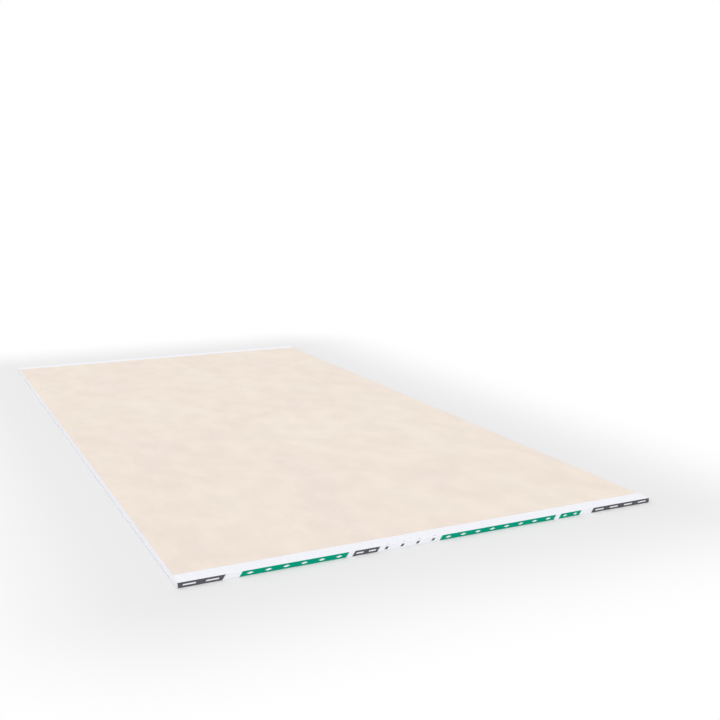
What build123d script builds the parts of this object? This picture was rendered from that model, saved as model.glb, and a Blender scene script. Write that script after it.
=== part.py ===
from build123d import *

import os

# Drywall sheet, half an inch by four feet by eight, with a strip of folded paper tape on each end.
# X runs across the sheet, Y along it and Z up. The sheet lies face down: the face and the tapers of its
# two long edges are underneath, the flat back is on top, and the square-cut ends are at -Y and +Y.
# The origin is on the floor, under the middle of the sheet. Lengths are in millimetres.

# Sheet
sheet_width = 1219.2
sheet_length = 2438.4
sheet_thickness = 12.7

# Long edges: the face slopes back to a paper-wrapped edge that is thinner than the sheet
taper_width = 60.0
taper_depth = 1.3
taper_blend_radius = 600.0
face_edge_radius = 1.8
back_edge_radius = 1.2

# End tape: a flange seated flush in the back and a web over the cut end, slit just above the face
tape_thickness = 0.25
tape_flange_width = 40.0
tape_side_clearance = 0.8
tape_slit_height = 0.5

# How far a cut runs past the faces that it opens
cut_overrun = 5.0

# Lines that the sheet and its tapes share
half_width = sheet_width / 2
half_length = sheet_length / 2
tape_seat_height = sheet_thickness - tape_thickness
tape_flange_end = tape_flange_width - half_length


def sheet_section():
    """Outline of the sheet across its width: flat back, flat face, and a taper along each long edge."""
    taper_start = half_width - taper_width
    outline = Polyline(
        (-half_width, sheet_thickness),
        (half_width, sheet_thickness),
        (half_width, taper_depth),
        (taper_start, 0),
        (-taper_start, 0),
        (-half_width, taper_depth),
        close=True,
    )
    section = Sketch() + make_face(outline)
    section = fillet(section.vertices().group_by(Axis.Y)[-1], back_edge_radius)
    section = fillet(section.vertices().group_by(Axis.Y)[1], face_edge_radius)
    return fillet(section.vertices().group_by(Axis.Y)[0], taper_blend_radius)


def near_tape_seat():
    """Cut across the back at the -Y end, as wide as the tape's flange and as deep as the tape is thick."""
    seat = Box(
        sheet_width + 2 * cut_overrun,
        tape_flange_width + cut_overrun,
        tape_thickness + cut_overrun,
        align=(Align.CENTER, Align.MAX, Align.MIN),
    )
    return Pos(0, tape_flange_end, tape_seat_height) * seat


def drywall_sheet():
    """The sheet in one piece, its section run along Y, cut square and stepped for the tape at both ends."""
    board = extrude(Plane.XZ * sheet_section(), amount=half_length, both=True)
    return board - near_tape_seat() - mirror(near_tape_seat(), about=Plane.XZ)


def tape_section():
    """Outline of the near tape along Y: it lies in its seat, folds over the end edge and covers the end."""
    outer_end = -half_length - tape_thickness
    outline = Polyline(
        (outer_end, tape_slit_height),
        (outer_end, sheet_thickness),
        (tape_flange_end, sheet_thickness),
        (tape_flange_end, tape_seat_height),
        (-half_length, tape_seat_height),
        (-half_length, tape_slit_height),
        close=True,
    )
    section = Sketch() + make_face(outline)
    fold = section.vertices().sort_by_distance((outer_end, sheet_thickness))[0]
    return fillet(fold, tape_thickness)


def near_end_tape():
    """The tape on the -Y end, running from one long edge to the other."""
    half_tape = half_width - back_edge_radius - tape_side_clearance
    return extrude(Plane.YZ * tape_section(), amount=half_tape, both=True)


def far_end_tape():
    """The tape on the +Y end, the near one mirrored."""
    return mirror(near_end_tape(), about=Plane.XZ)


os.makedirs("parts", exist_ok=True)
for make_piece in (drywall_sheet, near_end_tape, far_end_tape):
    export_step(make_piece(), f"parts/{make_piece.__name__}.step")
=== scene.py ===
import math
from collections import namedtuple

import bmesh
import bpy
from mathutils import Matrix, Vector, noise


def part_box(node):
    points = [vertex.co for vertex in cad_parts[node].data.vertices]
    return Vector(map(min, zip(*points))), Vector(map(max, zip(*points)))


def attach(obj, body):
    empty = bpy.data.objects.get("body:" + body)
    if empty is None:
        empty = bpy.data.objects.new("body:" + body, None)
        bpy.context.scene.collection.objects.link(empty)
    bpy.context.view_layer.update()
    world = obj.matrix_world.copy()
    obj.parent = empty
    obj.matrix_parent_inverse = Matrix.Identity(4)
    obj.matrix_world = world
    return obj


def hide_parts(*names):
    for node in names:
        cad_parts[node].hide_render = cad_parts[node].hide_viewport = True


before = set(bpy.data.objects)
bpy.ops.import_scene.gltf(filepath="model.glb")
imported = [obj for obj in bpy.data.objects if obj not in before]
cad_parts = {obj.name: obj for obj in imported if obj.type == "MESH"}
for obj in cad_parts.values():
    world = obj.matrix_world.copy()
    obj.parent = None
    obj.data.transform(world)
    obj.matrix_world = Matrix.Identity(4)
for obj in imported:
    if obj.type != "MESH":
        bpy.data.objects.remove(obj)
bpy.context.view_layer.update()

bl_info = {
    "name": "Drywall Sheet",
    "version": (1, 0, 0),
    "blender": (4, 5, 0),
    "location": "3D View > Sidebar > Drywall",
    "description": "Papers a drywall sheet, tapes its ends and sets it on a pale floor",
    "category": "Object",
}

MM = 0.001

# Names in the frame
BODY = "root"
BOARD_NODE = "drywall_sheet"
NEAR_TAPE_NODE = "near_end_tape"
FAR_TAPE_NODE = "far_end_tape"

# Sizes that the frame gives. The sheet lies face down, with its ends at -Y and +Y
BOARD_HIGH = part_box(BOARD_NODE)[1]
TAPE_LOW, TAPE_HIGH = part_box(NEAR_TAPE_NODE)
HALF_WIDTH = BOARD_HIGH.x
HALF_LENGTH = BOARD_HIGH.y
BACK_HEIGHT = BOARD_HIGH.z
HALF_TAPE = TAPE_HIGH.x
FLANGE_EDGE = TAPE_HIGH.y
SLIT_HEIGHT = TAPE_LOW.z
TAPE_THICKNESS = -HALF_LENGTH - TAPE_LOW.y

# Finishes of the board, in the order of its materials
BACK, EDGE, CORE = range(3)

# Finishes of the tape, in the order of its materials, and the bands of its print from the left, each with
# its share of the tape's length
PAPER, GREEN, CHARCOAL, BARRED = range(4)
BAND_SHARES = (
    (CHARCOAL, 0.080), (PAPER, 0.030), (GREEN, 0.200), (PAPER, 0.012), (CHARCOAL, 0.050), (BARRED, 0.130),
    (GREEN, 0.260), (PAPER, 0.012), (GREEN, 0.050), (PAPER, 0.030), (CHARCOAL, 0.146),
)
Band = namedtuple("Band", "finish start end")

# Maps of the tape: places in the cells of the print, and places to bake the finishes to
PRINT_MAP = "print"
BAKE_MAP = "OFBake"

# Middle of a cell of the print and of a noise, which both run from 0 to 1
MIDDLE = 0.5

# How square to an axis a face has to be to count as facing it, and how near a place counts as on a line
SQUARE = 0.9
SLACK = 0.1 * MM


def screen_colour(red, green, blue):
    """Linear colour, with alpha, of a screen colour given in steps of 255, by the sRGB curve."""
    channels = [value / 255 for value in (red, green, blue)]
    linear = [c / 12.92 if c <= 0.04045 else ((c + 0.055) / 1.055) ** 2.4 for c in channels]
    return (*linear, 1.0)


def colour_property(name, description, red, green, blue):
    """A colour that the user can set, given by its screen colour."""
    return bpy.props.FloatVectorProperty(
        name=name, description=description, subtype="COLOR", size=4, min=0.0, max=1.0,
        default=screen_colour(red, green, blue),
    )


def length_property(name, description, default):
    """A length that the user can set, in metres."""
    return bpy.props.FloatProperty(
        name=name, description=description, unit="LENGTH", min=0.0, precision=5, default=default,
    )


def angle_property(name, description, degrees):
    """An angle that the user can set."""
    return bpy.props.FloatProperty(
        name=name, description=description, subtype="ANGLE", default=math.radians(degrees),
    )


class DrywallBoardSettings(bpy.types.PropertyGroup):
    """Sizes and colours of the papered board"""

    taper_width: length_property("Taper width", "How far the face slopes in from each long edge", 60 * MM)
    taper_depth: length_property("Taper depth", "How much thinner the long edges are", 1.3 * MM)
    face_edge_radius: length_property("Face edge radius", "Rounding of the long edges at the face", 1.8 * MM)
    back_edge_radius: length_property("Back edge radius", "Rounding of the long edges at the back", 1.2 * MM)
    lap_inset: length_property("Lap inset", "How far the back paper stops short of each long edge", 3.5 * MM)
    lap_step: length_property("Lap step", "How far the back paper stands above the wrapped edge", 0.3 * MM)
    lap_waver: length_property("Lap waver", "How far the back paper's cut edge wanders", 0.5 * MM)
    edge_waver: length_property("Edge waver", "How far the long edges dip in from straight", 0.25 * MM)
    flap_width: length_property("Flap width", "How far the face paper is folded in under the back", 24 * MM)
    flap_slope: length_property("Flap slope", "How far the back takes to settle beside the flap", 7 * MM)
    flap_rise: length_property("Flap rise", "How much the flap lifts the back", 0.15 * MM)
    paper_thickness: length_property("Paper thickness", "Thickness of the papers at the cut ends", 0.35 * MM)
    core_recess: length_property("Core recess", "How far the crumbly core stops short at the ends", 0.3 * MM)
    back_colour: colour_property("Back paper", "Cream paper of the back", 241, 229, 217)
    fibre_colour: colour_property("Fibres", "Darker fibres in the back paper", 182, 165, 149)
    edge_colour: colour_property("Edge paper", "White paper of the face and the long edges", 250, 250, 252)
    # Painted shade: the cooler, darker tone given to the upper part of the long edges
    painted_shade_colour: colour_property("Edge shade", "Cooler tone of the long edges near the back", 234, 234, 244)
    core_colour: colour_property("Core", "Plaster at the cut ends", 226, 224, 218)


class DrywallTapeSettings(bpy.types.PropertyGroup):
    """Sizes and colours of the end tapes"""

    thickness: length_property("Thickness", "Thickness of the paper tape", TAPE_THICKNESS)
    proud: length_property("Proud", "How far the flange stands above the rims of the back", 0.1 * MM)
    fold_radius: length_property("Fold radius", "Rounding of the fold over the end edge", 0.6 * MM)
    print_margin: length_property("Print margin", "Bare strip between the fold and the print", 0.8 * MM)
    mark_pitch: length_property("Mark pitch", "About how far apart the print's marks are", 40 * MM)
    row_inset: length_property("Row inset", "How far behind the fold the next row of marks starts", 1.8 * MM)
    row_depth: length_property("Row depth", "How deep that row of marks is", 1.2 * MM)
    waver: length_property("Waver", "How far the tape's glued edge wanders", 0.5 * MM)
    ripple: length_property("Ripple", "How far the tape lifts in ripples", 0.15 * MM)
    fray: length_property("Fray", "How uneven the slit edge is", 0.25 * MM)
    slant: angle_property("Slant", "Lean of the printed bands", 36)
    paper_colour: colour_property("Tape paper", "Bare paper of the tape", 243, 244, 250)
    green_colour: colour_property("Green ink", "Green bands of the print", 0, 155, 125)
    charcoal_colour: colour_property("Charcoal ink", "Dark bands of the print", 93, 92, 98)


class DrywallStageSettings(bpy.types.PropertyGroup):
    """Camera, light and floor"""

    camera_place: bpy.props.FloatVectorProperty(
        name="Camera place", description="Where the camera stands", subtype="TRANSLATION",
        default=(-1.096, -3.078, 0.829),
    )
    camera_turn: angle_property("Camera turn", "Turn to the right of the sheet's length", 25.7)
    camera_dip: angle_property("Camera dip", "Downward tilt of the camera", 10.85)
    camera_lens: bpy.props.FloatProperty(
        name="Camera lens", description="Focal length on a 36 mm frame", subtype="DISTANCE_CAMERA",
        default=50.0,
    )
    sky_strength: bpy.props.FloatProperty(
        name="Sky strength", description="Strength of the even light from all round", default=0.8,
    )
    key_place: bpy.props.FloatVectorProperty(
        name="Key place", description="Side that the broad soft lamp shines from", subtype="TRANSLATION",
        default=(-6.2, -4.5, 6.4),
    )
    key_strength: bpy.props.FloatProperty(
        name="Key strength", description="Strength of the broad soft lamp", default=1.0,
    )
    key_spread: angle_property("Key spread", "How wide the lamp looks from the sheet", 50)
    floor_reach: length_property("Floor reach", "Half the width of the floor", 60.0)
    # Painted shadow: the floor has the grey below near the sheet, and it fades to white over this distance
    # from it
    painted_shadow_reach: length_property("Fade length", "Distance from the sheet where the floor is white", 0.55)
    painted_shadow_floor_colour: colour_property("Floor", "Pale floor beside the sheet", 235, 235, 235)


class Finish:
    """A material whose nodes are added one at a time."""

    def __init__(self, name, roughness, gloss):
        self.material = bpy.data.materials.new(name)
        self.material.use_nodes = True
        self.tree = self.material.node_tree
        self.shader = self.tree.nodes["Principled BSDF"]
        self.shader.inputs["Roughness"].default_value = roughness
        self.shader.inputs["Specular IOR Level"].default_value = gloss
        self.place = self.add("ShaderNodeTexCoord").outputs["Object"]

    def add(self, kind, inputs=None, **settings):
        """A new node with its settings, and its inputs linked or set."""
        node = self.tree.nodes.new(kind)
        for name, value in settings.items():
            setattr(node, name, value)
        for name, value in (inputs or {}).items():
            self.feed(node.inputs[name], value)
        return node

    def feed(self, socket, value):
        """Links a socket to an output, or sets it to a plain value."""
        if isinstance(value, bpy.types.NodeSocket):
            self.tree.links.new(value, socket)
        elif isinstance(value, float):
            socket.default_value = value
        else:
            socket.default_value = value[:len(socket.default_value)]

    def math(self, operation, first, second=0.0):
        """Result of one sum."""
        return self.add("ShaderNodeMath", {0: first, 1: second}, operation=operation).outputs[0]

    def vector(self, operation, first, second=(0.0, 0.0, 0.0)):
        """Result of one sum on vectors: a vector, or a plain value where it gives one."""
        node = self.add("ShaderNodeVectorMath", {0: first, 1: second}, operation=operation)
        return next(output for output in node.outputs if output.enabled)

    def distance(self, value, middle):
        """How far a value is from the middle, either way."""
        return self.math("ABSOLUTE", self.math("SUBTRACT", value, middle))

    def ramp(self, value, start, end):
        """Value as a smooth step from 0 at start to 1 at end."""
        inputs = {"Value": value, "From Min": start, "From Max": end}
        return self.add("ShaderNodeMapRange", inputs, interpolation_type="SMOOTHSTEP").outputs[0]

    def cloud(self, size, detail, stretch=1.0, axis="Y"):
        """Soft noise about as large as size, drawn out along an axis by stretch."""
        scale = [1 / (size * stretch) if name == axis else 1 / size for name in "XYZ"]
        place = self.add("ShaderNodeMapping", {"Vector": self.place, "Scale": scale}).outputs[0]
        return self.add("ShaderNodeTexNoise", {"Vector": place, "Scale": 1.0, "Detail": detail}).outputs[0]

    def mix(self, factor, first, second):
        """Colour between two, by factor."""
        # A Mix node has sockets for other kinds of value too, under the same names
        first_colour, second_colour, mixed_colour = 6, 7, 2
        inputs = {0: factor, first_colour: first, second_colour: second}
        return self.add("ShaderNodeMix", inputs, data_type="RGBA").outputs[mixed_colour]

    def shade(self, colour, amount, low, high):
        """Colour scaled to low where amount is 0, and to high where it is 1."""
        level = self.add("ShaderNodeMapRange", {"Value": amount, "To Min": low, "To Max": high}).outputs[0]
        inputs = {"Vector": colour, "Scale": level}
        return self.add("ShaderNodeVectorMath", inputs, operation="SCALE").outputs[0]

    def colour(self, colour):
        """Gives the shader its colour."""
        self.feed(self.shader.inputs["Base Color"], colour)

    def bump(self, height, depth):
        """Gives the shader a relief as deep as depth."""
        inputs = {"Height": height, "Distance": depth, "Strength": 1.0}
        self.feed(self.shader.inputs["Normal"], self.add("ShaderNodeBump", inputs).outputs[0])


def tinted(colour, red, green, blue):
    """A colour with its channels scaled."""
    return (colour[0] * red, colour[1] * green, colour[2] * blue, 1.0)


def back_paper(settings):
    """Cream paper: warm and cool clouds, mottling, streaks along the sheet and scattered darker fibres."""
    cloud_size, mottle_size = 300 * MM, 70 * MM
    streak_width, fibre_width, grain_size = 4 * MM, 1.1 * MM, 1.5 * MM
    fibre_strength, relief = 0.35, 0.05 * MM
    finish = Finish("back_paper", roughness=0.88, gloss=0.2)
    base = tuple(settings.back_colour)
    rosy = tinted(base, red=0.985, green=0.97, blue=0.985)
    pale = tinted(base, red=1.005, green=1.01, blue=1.01)
    clouds = finish.ramp(finish.cloud(cloud_size, detail=3.0, stretch=1.6), start=0.3, end=0.7)
    mottling = finish.ramp(finish.cloud(mottle_size, detail=5.0, stretch=1.5), start=0.3, end=0.7)
    streaks = finish.cloud(streak_width, detail=3.0, stretch=25.0)
    fibres = finish.ramp(finish.cloud(fibre_width, detail=2.0, stretch=4.0), start=0.66, end=0.74)
    colour = finish.shade(finish.mix(clouds, rosy, pale), mottling, low=0.97, high=1.02)
    colour = finish.shade(colour, streaks, low=0.97, high=1.03)
    faint_fibres = finish.math("MULTIPLY", fibres, fibre_strength)
    finish.colour(finish.mix(faint_fibres, colour, tuple(settings.fibre_colour)))
    finish.bump(finish.math("ADD", finish.cloud(grain_size, detail=3.0), streaks), relief)
    return finish.material


def edge_paper(settings):
    """White paper of the face and long edges, with fibres and faint scuffs, and painted shade that turns it
    cooler and darker towards the back.
    """
    painted_shade_middle, painted_shade_softness, painted_shade_waver = 0.4 * BACK_HEIGHT, 1.6 * MM, 3 * MM
    patch_size, scuff_size, fibre_width, dent_size = 30 * MM, 45 * MM, 0.8 * MM, 4 * MM
    relief = 0.15 * MM
    finish = Finish("edge_paper", roughness=0.92, gloss=0.2)
    # Painted shade: above about 0.4 of the board's height, along a wavering line, the paper takes the cooler
    # shade colour
    height = finish.add("ShaderNodeSeparateXYZ", {0: finish.place}).outputs["Z"]
    patches = finish.math("SUBTRACT", finish.cloud(patch_size, detail=3.0), MIDDLE)
    height = finish.math("ADD", height, finish.math("MULTIPLY", patches, painted_shade_waver))
    painted_shade = finish.ramp(height, painted_shade_middle - painted_shade_softness, painted_shade_middle + painted_shade_softness)
    colour = finish.mix(painted_shade, tuple(settings.edge_colour), tuple(settings.painted_shade_colour))
    scuffs = finish.cloud(scuff_size, detail=4.0, stretch=6.0)
    colour = finish.shade(colour, scuffs, low=0.95, high=1.02)
    fibres = finish.cloud(fibre_width, detail=3.0, stretch=7.0)
    finish.colour(finish.shade(colour, fibres, low=0.94, high=1.05))
    dents = finish.cloud(dent_size, detail=2.0, stretch=6.0)
    finish.bump(finish.math("ADD", fibres, dents), relief)
    return finish.material


def plaster_core(settings):
    """Chalky core at the cut ends, full of small pores, with painted shade in the pores."""
    pores_per_metre, crumb_size, relief = 900.0, 2 * MM, 0.3 * MM
    finish = Finish("plaster_core", roughness=0.95, gloss=0.1)
    inputs = {"Vector": finish.place, "Scale": pores_per_metre}
    pores = finish.add("ShaderNodeTexVoronoi", inputs).outputs["Distance"]
    # Painted shade: the colour darkens to 0.8 in the middle of each pore
    solid = finish.ramp(pores, start=0.1, end=0.5)
    finish.colour(finish.shade(tuple(settings.core_colour), solid, low=0.8, high=1.0))
    finish.bump(finish.math("ADD", pores, finish.cloud(crumb_size, detail=4.0)), relief)
    return finish.material


def pucker(finish):
    """Puckers the tape as its glue does, and gives the height of the soft ridges, which the bare tape also
    uses for painted shade.
    """
    pucker_size, pucker_depth = 50 * MM, 0.25 * MM
    folds = finish.cloud(pucker_size, detail=3.0, stretch=0.24, axis="X")
    ridges = finish.ramp(finish.distance(folds, MIDDLE), start=0.0, end=0.12)
    finish.bump(ridges, pucker_depth)
    return ridges


def tape_paper(settings):
    """Bare tape: smooth white paper, puckered by its glue, with painted shade in the pucker creases."""
    fibre_width = 1.2 * MM
    finish = Finish("tape_paper", roughness=0.7, gloss=0.2)
    # Painted shade: the paper is a little darker in the pucker creases and a little lighter on the ridges
    colour = finish.shade(tuple(settings.paper_colour), pucker(finish), low=0.985, high=1.005)
    fibres = finish.cloud(fibre_width, detail=3.0, stretch=5.0, axis="X")
    finish.colour(finish.shade(colour, fibres, low=0.96, high=1.04))
    return finish.material


def band_print(name, ground_colour, mark_colour, mark):
    """Printed band of the tape: a little uneven, with a row of plain marks, one in each cell."""
    ink_grain = 3 * MM
    finish = Finish(name, roughness=0.7, gloss=0.05)
    ground = finish.shade(tuple(ground_colour), finish.cloud(ink_grain, detail=3.0), low=0.9, high=1.1)
    cell = finish.add("ShaderNodeUVMap", uv_map=PRINT_MAP).outputs[0]
    along, up = finish.add("ShaderNodeSeparateXYZ", {0: cell}).outputs[:2]
    aside = finish.distance(finish.math("FRACT", along), MIDDLE)
    marked = mark(finish, aside, finish.distance(up, MIDDLE))
    finish.colour(finish.mix(marked, ground, tuple(mark_colour)))
    pucker(finish)
    return finish.material


# Marks of the print, as masks. Aside and above are distances from a cell's centre, as shares of the cell
def lozenge(finish, aside, above):
    """A lozenge."""
    half_long, half_tall = 0.2, 0.2
    reach_aside = finish.math("DIVIDE", aside, half_long)
    reach_above = finish.math("DIVIDE", above, half_tall)
    return finish.math("LESS_THAN", finish.math("ADD", reach_aside, reach_above), 1.0)


def block(finish, aside, above, half_long, half_tall):
    """A block that leans as its band does."""
    in_length = finish.math("LESS_THAN", aside, half_long)
    return finish.math("MULTIPLY", in_length, finish.math("LESS_THAN", above, half_tall))


def dash(finish, aside, above):
    """A long low block."""
    return block(finish, aside, above, half_long=0.28, half_tall=0.12)


def bar(finish, aside, above):
    """A short upright block."""
    return block(finish, aside, above, half_long=0.09, half_tall=0.24)


def new_piece(name, shape, materials, node):
    """An object at the origin that rides on the body and stands for a node."""
    sharp_angle = math.radians(35)
    if not all(edge.is_manifold for edge in shape.edges):
        raise RuntimeError(f"{name} has open edges with these sizes")
    mesh = bpy.data.meshes.new(name)
    bmesh.ops.recalc_face_normals(shape, faces=shape.faces)
    shape.to_mesh(mesh)
    shape.free()
    mesh.shade_smooth()
    mesh.set_sharp_from_angle(angle=sharp_angle)
    for material in materials:
        mesh.materials.append(material)
    piece = bpy.data.objects.new(name, mesh)
    bpy.context.scene.collection.objects.link(piece)
    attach(piece, BODY)
    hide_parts(node)


def flat_face(shape, points):
    """A flat face through the points, and its corners in order."""
    corners = [shape.verts.new(point) for point in points]
    shape.faces.new(corners)
    return corners


def round_corners(shape, corners, radius, segments):
    """Rounds corners of a flat face."""
    bmesh.ops.bevel(
        shape, geom=corners, offset=radius, segments=segments, profile=0.5, affect="VERTICES", material=-1,
    )


def everything(shape):
    """All that a shape holds."""
    return shape.verts[:] + shape.edges[:] + shape.faces[:]


def run_out(shape, travel, steps):
    """Runs a flat face along travel, in equal steps, into a closed solid."""
    bmesh.ops.spin(
        shape, geom=everything(shape), cent=(0, 0, 0), axis=(0, 0, 1), dvec=travel / steps, angle=0.0,
        steps=steps,
    )


def wander(amount, waves, place, row):
    """A smooth wander of up to amount, with about so many waves a metre, different on each row."""
    return amount * noise.noise(Vector((waves * place, row, row)))


def board_section(shape, settings):
    """The board's section at its near end: tapers, rounded edges, and the lap and flap of the papers."""
    taper_start = HALF_WIDTH - settings.taper_width
    lap = HALF_WIDTH - settings.lap_inset
    flap = HALF_WIDTH - settings.flap_width
    ledge = BACK_HEIGHT - settings.lap_step
    right = (
        (taper_start, 0.0),
        (HALF_WIDTH, settings.taper_depth),
        (HALF_WIDTH, ledge),
        (lap, ledge),
        (lap, BACK_HEIGHT),
        (flap, BACK_HEIGHT),
        (flap - settings.flap_slope, BACK_HEIGHT - settings.flap_rise),
    )
    left = [(-x, z) for x, z in reversed(right)]
    corners = flat_face(shape, [(x, -HALF_LENGTH, z) for x, z in (*right, *left)])
    round_corners(shape, [corners[1], corners[-2]], settings.face_edge_radius, segments=5)
    round_corners(shape, [corners[2], corners[-3]], settings.back_edge_radius, segments=4)
    wide = [edge for edge in shape.edges if edge.calc_length() > HALF_WIDTH]
    bmesh.ops.subdivide_edges(shape, edges=wide, cuts=23)
    tall = [edge for edge in shape.edges if BACK_HEIGHT / 2 < edge.calc_length() < BACK_HEIGHT]
    bmesh.ops.subdivide_edges(shape, edges=[edge for edge in tall if is_upright(edge)], cuts=7)


def is_upright(edge):
    """Whether an edge of the section stands straight up."""
    start, end = (vertex.co.x for vertex in edge.verts)
    return abs(start - end) < SLACK


def board_shape(settings):
    """The board: its section run along the sheet, with papers round the core at both ends."""
    shape = bmesh.new()
    board_section(shape, settings)
    run_out(shape, Vector((0, 2 * HALF_LENGTH, 0)), steps=320)
    bmesh.ops.recalc_face_normals(shape, faces=shape.faces)
    for face in shape.faces:
        face.material_index = board_finish(face, settings)
    ends = [face for face in shape.faces if face.material_index == CORE]
    papers = bmesh.ops.inset_region(
        shape, faces=ends, thickness=settings.paper_thickness, depth=-settings.core_recess,
        use_even_offset=True, use_boundary=True,
    )
    for face in papers["faces"]:
        face.material_index = EDGE
    waver_edges(shape, settings)
    return shape


def board_finish(face, settings):
    """Which of the board's finishes a face has."""
    if abs(face.normal.y) > SQUARE:
        return CORE
    centre = face.calc_center_median()
    in_lap = abs(centre.x) < HALF_WIDTH - settings.lap_inset + SLACK
    return BACK if in_lap and centre.z > BACK_HEIGHT / 2 else EDGE


def waver_edges(shape, settings):
    """Lets the long edges and the cut edges of the back paper wander a little."""
    lap_waves, tear_waves, edge_waves, waves_up = 9.0, 70.0, 14.0, 60.0
    lap_row, tear_row, edge_row = 7.4, 3.4, 5.4
    tear_share = 0.3
    tear = tear_share * settings.lap_waver
    lap = HALF_WIDTH - settings.lap_inset
    for vertex in shape.verts:
        x, y, z = vertex.co
        side = math.copysign(1.0, x)
        if abs(abs(x) - lap) < SLACK:
            vertex.co.x += wander(settings.lap_waver, lap_waves, y, side * lap_row)
            vertex.co.x += wander(tear, tear_waves, y, side * tear_row)
        elif abs(x) > lap:
            row = side * edge_row + waves_up * z
            vertex.co.x -= side * abs(wander(settings.edge_waver, edge_waves, y, row))


def tape_shape(settings, side):
    """An end tape, folded over the end edge and cut along its printed bands. Side is -1 near and 1 far."""
    shape = bmesh.new()
    outer_end = -HALF_LENGTH - settings.thickness
    top = BACK_HEIGHT + settings.proud
    under = top - settings.thickness
    section = (
        (FLANGE_EDGE, under),
        (FLANGE_EDGE, top),
        (outer_end, top),
        (outer_end, SLIT_HEIGHT),
        (-HALF_LENGTH, SLIT_HEIGHT),
        (-HALF_LENGTH, under),
    )
    corners = flat_face(shape, [(-HALF_TAPE, y, z) for y, z in section])
    round_corners(shape, [corners[2]], settings.fold_radius, segments=4)
    flange = [edge for edge in shape.edges if edge.calc_length() > 2 * BACK_HEIGHT]
    bmesh.ops.subdivide_edges(shape, edges=flange, cuts=6)
    run_out(shape, Vector((2 * HALF_TAPE, 0, 0)), steps=200)
    print_bands(shape, settings)
    lay_out_bands(shape, settings)
    ripple_tape(shape, settings, side)
    if side > 0:
        half_turn = Matrix.Rotation(math.pi, 3, "Z")
        bmesh.ops.rotate(shape, verts=shape.verts, cent=(0, 0, 0), matrix=half_turn)
    return shape


def print_bands(shape, settings):
    """Cuts the tape along its bands, and gives each printed face its finish and its place in the cells."""
    lean = math.tan(settings.slant)
    print_top = BACK_HEIGHT - settings.print_margin
    row_start = settings.row_inset - HALF_LENGTH
    row_end = row_start + settings.row_depth
    bands = band_places()
    cut_through(shape, (0, 0, print_top), (0, 0, 1))
    cut_through(shape, (0, row_start, 0), (0, 1, 0))
    cut_through(shape, (0, row_end, 0), (0, 1, 0))
    for band in bands[1:]:
        cut_through(shape, (band.start, 0, BACK_HEIGHT / 2), (1, 0, -lean))
    bmesh.ops.recalc_face_normals(shape, faces=shape.faces)
    cells = shape.loops.layers.uv.new(PRINT_MAP)
    for face in shape.faces:
        centre = face.calc_center_median()
        band = bands[band_number(bands, centre, lean)]
        on_web = face.normal.y < -SQUARE and centre.z < print_top
        in_row = band.finish == BARRED and face.normal.z > SQUARE and row_start < centre.y < row_end
        if not on_web and not in_row:
            continue
        face.material_index = band.finish
        count = round((band.end - band.start) / settings.mark_pitch)
        for corner in face.loops:
            share = (along_band(corner.vert.co, lean) - band.start) / (band.end - band.start)
            up = corner.vert.co.z / print_top if on_web else MIDDLE
            corner[cells].uv = (count * share, up)


def band_places():
    """The bands, with where each starts and ends along the tape at half the sheet's thickness."""
    bands = []
    start = -HALF_TAPE
    for finish, share in BAND_SHARES:
        end = start + 2 * HALF_TAPE * share
        bands.append(Band(finish, start, end))
        start = end
    return bands


def along_band(point, lean):
    """Where the slanting line through a point crosses half the sheet's thickness."""
    return point.x - lean * (point.z - BACK_HEIGHT / 2)


def band_number(bands, point, lean):
    """Which band a point lies in, counted from the left."""
    place = along_band(point, lean)
    return next((number for number, band in enumerate(bands) if place < band.end), len(bands) - 1)


def lay_out_bands(shape, settings):
    """Gives each band a row of its own in the map for baking, and the hidden faces the last row."""
    # How much of its row a band fills, and how much of that its printed height takes
    row_fill, print_share = 0.9, 0.8
    lean = math.tan(settings.slant)
    overhang = lean * BACK_HEIGHT
    print_end = BACK_HEIGHT + settings.row_inset + settings.row_depth
    flange_end = BACK_HEIGHT + HALF_LENGTH + FLANGE_EDGE
    bands = band_places()
    rows = len(bands) + 1
    places = shape.loops.layers.uv.new(BAKE_MAP)
    for face in shape.faces:
        row = band_number(bands, face.calc_center_median(), lean)
        start, end = bands[row].start - overhang, bands[row].end + overhang
        # The underside, the back of the web and the cut edges hardly show
        if face.normal.z - face.normal.y < SQUARE:
            row, start, end = len(bands), -HALF_TAPE, HALF_TAPE
        for corner in face.loops:
            x, y, z = corner.vert.co
            # The way up the web, over the fold and along the flange
            way = z + y + HALF_LENGTH
            printed = min(way / print_end, 1.0)
            plain = max((way - print_end) / (flange_end - print_end), 0.0)
            up = print_share * printed + (1 - print_share) * plain
            corner[places].uv = ((x - start) / (end - start), (row + row_fill * up) / rows)


def cut_through(shape, point, normal):
    """Cuts a whole shape along a plane, and keeps both sides."""
    bmesh.ops.bisect_plane(shape, geom=everything(shape), plane_co=point, plane_no=normal)


def ripple_tape(shape, settings, side):
    """Lifts the tape off the board in small ripples, and makes its free edges uneven."""
    along_waves, across_waves, edge_waves, slit_waves = 25.0, 40.0, 11.0, 60.0
    ripple_row, edge_row = side * 9.4, side * 5.4
    for vertex in shape.verts:
        x, y, z = vertex.co
        swell = noise.noise(Vector((along_waves * x, across_waves * y, across_waves * z + ripple_row)))
        lift = settings.ripple * abs(swell)
        if y > FLANGE_EDGE - SLACK:
            vertex.co.y += wander(settings.waver, edge_waves, x, edge_row)
        elif z < SLIT_HEIGHT + SLACK:
            vertex.co.z += wander(settings.fray, slit_waves, x, edge_row)
        if y > SLACK - HALF_LENGTH:
            vertex.co.z += lift
        else:
            vertex.co.y -= lift


class DRYWALL_OT_board(bpy.types.Operator):
    """Paper the board: cream back, white wrapped long edges and plaster at the cut ends"""

    bl_idname = "drywall.board"
    bl_label = "Paper the Board"

    def execute(self, context):
        settings = context.scene.drywall_board
        finishes = [back_paper(settings), edge_paper(settings), plaster_core(settings)]
        new_piece("papered_board", board_shape(settings), finishes, BOARD_NODE)
        return {"FINISHED"}


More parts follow.
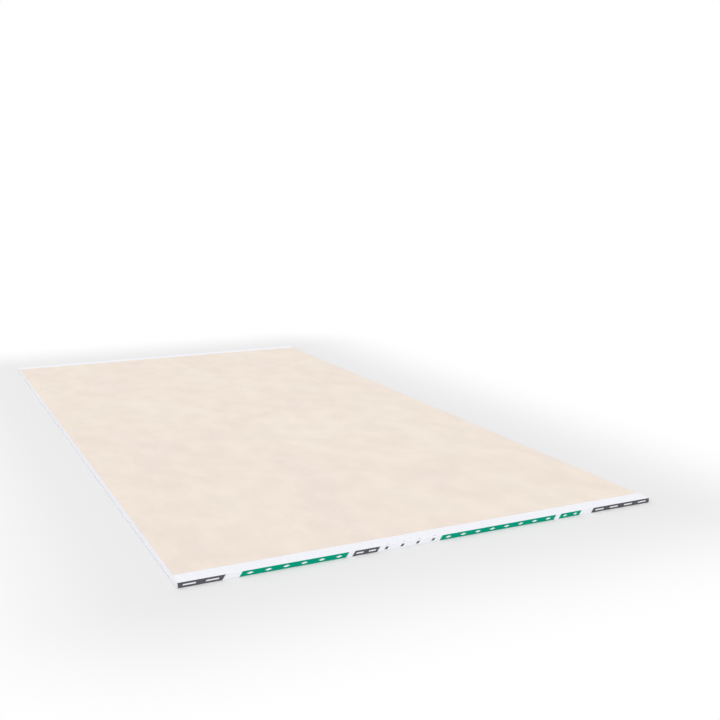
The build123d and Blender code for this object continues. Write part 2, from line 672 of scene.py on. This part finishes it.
class DRYWALL_OT_tapes(bpy.types.Operator):
    """Fold the printed tape over both ends"""

    bl_idname = "drywall.tapes"
    bl_label = "Tape the Ends"

    def execute(self, context):
        settings = context.scene.drywall_tape
        paper, green, charcoal = settings.paper_colour, settings.green_colour, settings.charcoal_colour
        finishes = [
            tape_paper(settings),
            band_print("green_print", green, paper, lozenge),
            band_print("charcoal_print", charcoal, paper, dash),
            band_print("barred_print", paper, charcoal, bar),
        ]
        new_piece("near_tape", tape_shape(settings, -1), finishes, NEAR_TAPE_NODE)
        new_piece("far_tape", tape_shape(settings, 1), finishes, FAR_TAPE_NODE)
        return {"FINISHED"}


def seen_rays(tree):
    """1 for rays from the camera, or seen in gloss or through glass, and 0 for those that only light."""
    rays = tree.nodes.new("ShaderNodeLightPath")
    seen = rays.outputs["Is Camera Ray"]
    for name in ("Is Glossy Ray", "Is Transmission Ray"):
        either = tree.nodes.new("ShaderNodeMath")
        either.operation = "MAXIMUM"
        tree.links.new(seen, either.inputs[0])
        tree.links.new(rays.outputs[name], either.inputs[1])
        seen = either.outputs[0]
    return seen


def floor_with_painted_shadow(settings):
    """A floor finish with a painted shadow: pale grey beside the sheet, turning plain white away from it."""
    finish = Finish("floor_with_painted_shadow", roughness=1.0, gloss=0.0)
    # Painted shadow: grey near the sheet, fading to the white glow further from the sheet's outline
    finish.colour(tuple(settings.painted_shadow_floor_colour))
    from_middle = finish.vector("ABSOLUTE", finish.place)
    from_sheet = finish.vector("MAXIMUM", finish.vector("SUBTRACT", from_middle, tuple(BOARD_HIGH)))
    far = finish.ramp(finish.vector("LENGTH", from_sheet), start=0.0, end=settings.painted_shadow_reach)
    white = finish.math("MULTIPLY", far, seen_rays(finish.tree))
    glow = finish.add("ShaderNodeEmission", {"Color": (1, 1, 1, 1), "Strength": 1.0}).outputs[0]
    blend = finish.add("ShaderNodeMixShader", {0: white, 1: finish.shader.outputs[0], 2: glow}).outputs[0]
    finish.feed(finish.tree.nodes["Material Output"].inputs["Surface"], blend)
    return finish.material


def add_floor(settings):
    """The floor, far wider than the view."""
    shape = bmesh.new()
    bmesh.ops.create_grid(shape, x_segments=1, y_segments=1, size=settings.floor_reach)
    mesh = bpy.data.meshes.new("floor")
    shape.to_mesh(mesh)
    shape.free()
    mesh.materials.append(floor_with_painted_shadow(settings))
    floor = bpy.data.objects.new("floor", mesh)
    bpy.context.scene.collection.objects.link(floor)


def add_sky(settings):
    """Even white light from all round, and a white background."""
    world = bpy.data.worlds.new("white_sky")
    world.use_nodes = True
    tree = world.node_tree
    light = tree.nodes["Background"]
    light.inputs["Color"].default_value = (1, 1, 1, 1)
    light.inputs["Strength"].default_value = settings.sky_strength
    white = tree.nodes.new("ShaderNodeBackground")
    white.inputs["Color"].default_value = (1, 1, 1, 1)
    blend = tree.nodes.new("ShaderNodeMixShader")
    tree.links.new(seen_rays(tree), blend.inputs[0])
    tree.links.new(light.outputs[0], blend.inputs[1])
    tree.links.new(white.outputs[0], blend.inputs[2])
    tree.links.new(blend.outputs[0], tree.nodes["World Output"].inputs["Surface"])
    bpy.context.scene.world = world


def add_key(settings):
    """A broad soft lamp far off, in front and to the left."""
    lamp = bpy.data.lights.new("key_lamp", "SUN")
    lamp.energy = settings.key_strength
    lamp.angle = settings.key_spread
    key = bpy.data.objects.new("key_lamp", lamp)
    key.location = settings.key_place
    key.rotation_euler = (-key.location).to_track_quat("-Z", "Y").to_euler()
    bpy.context.scene.collection.objects.link(key)


def add_camera(settings):
    """The camera, level from side to side."""
    lens = bpy.data.cameras.new("camera")
    lens.sensor_width = 36.0
    lens.lens = settings.camera_lens
    camera = bpy.data.objects.new("camera", lens)
    camera.location = settings.camera_place
    camera.rotation_euler = (math.pi / 2 - settings.camera_dip, 0.0, -settings.camera_turn)
    bpy.context.scene.collection.objects.link(camera)
    bpy.context.scene.camera = camera


class DRYWALL_OT_stage(bpy.types.Operator):
    """Set the floor, the light and the camera"""

    bl_idname = "drywall.stage"
    bl_label = "Set the Stage"

    def execute(self, context):
        settings = context.scene.drywall_stage
        add_floor(settings)
        add_sky(settings)
        add_key(settings)
        add_camera(settings)
        context.scene.view_settings.view_transform = "Standard"
        return {"FINISHED"}


class DRYWALL_PT_sheet(bpy.types.Panel):
    """Sizes, colours and steps of the drywall sheet"""

    bl_idname = "DRYWALL_PT_sheet"
    bl_label = "Drywall Sheet"
    bl_space_type = "VIEW_3D"
    bl_region_type = "UI"
    bl_category = "Drywall"

    def draw(self, context):
        for group_name, group, operator in STEPS:
            box = self.layout.box()
            for name in group.__annotations__:
                box.prop(getattr(context.scene, group_name), name)
            box.operator(operator.bl_idname)


# Each step's settings, under their name in the scene, and its operator
STEPS = (
    ("drywall_board", DrywallBoardSettings, DRYWALL_OT_board),
    ("drywall_tape", DrywallTapeSettings, DRYWALL_OT_tapes),
    ("drywall_stage", DrywallStageSettings, DRYWALL_OT_stage),
)


def register():
    """Registers the settings, the operators and the panel."""
    for group_name, group, operator in STEPS:
        bpy.utils.register_class(group)
        bpy.utils.register_class(operator)
        setattr(bpy.types.Scene, group_name, bpy.props.PointerProperty(type=group))
    bpy.utils.register_class(DRYWALL_PT_sheet)


def unregister():
    """Takes them out again, the last one first."""
    bpy.utils.unregister_class(DRYWALL_PT_sheet)
    for group_name, group, operator in reversed(STEPS):
        delattr(bpy.types.Scene, group_name)
        bpy.utils.unregister_class(operator)
        bpy.utils.unregister_class(group)


def main():
    """Makes the sheet and its stage."""
    register()
    bpy.ops.drywall.board()
    bpy.ops.drywall.tapes()
    bpy.ops.drywall.stage()


if __name__ == "__main__":
    main()
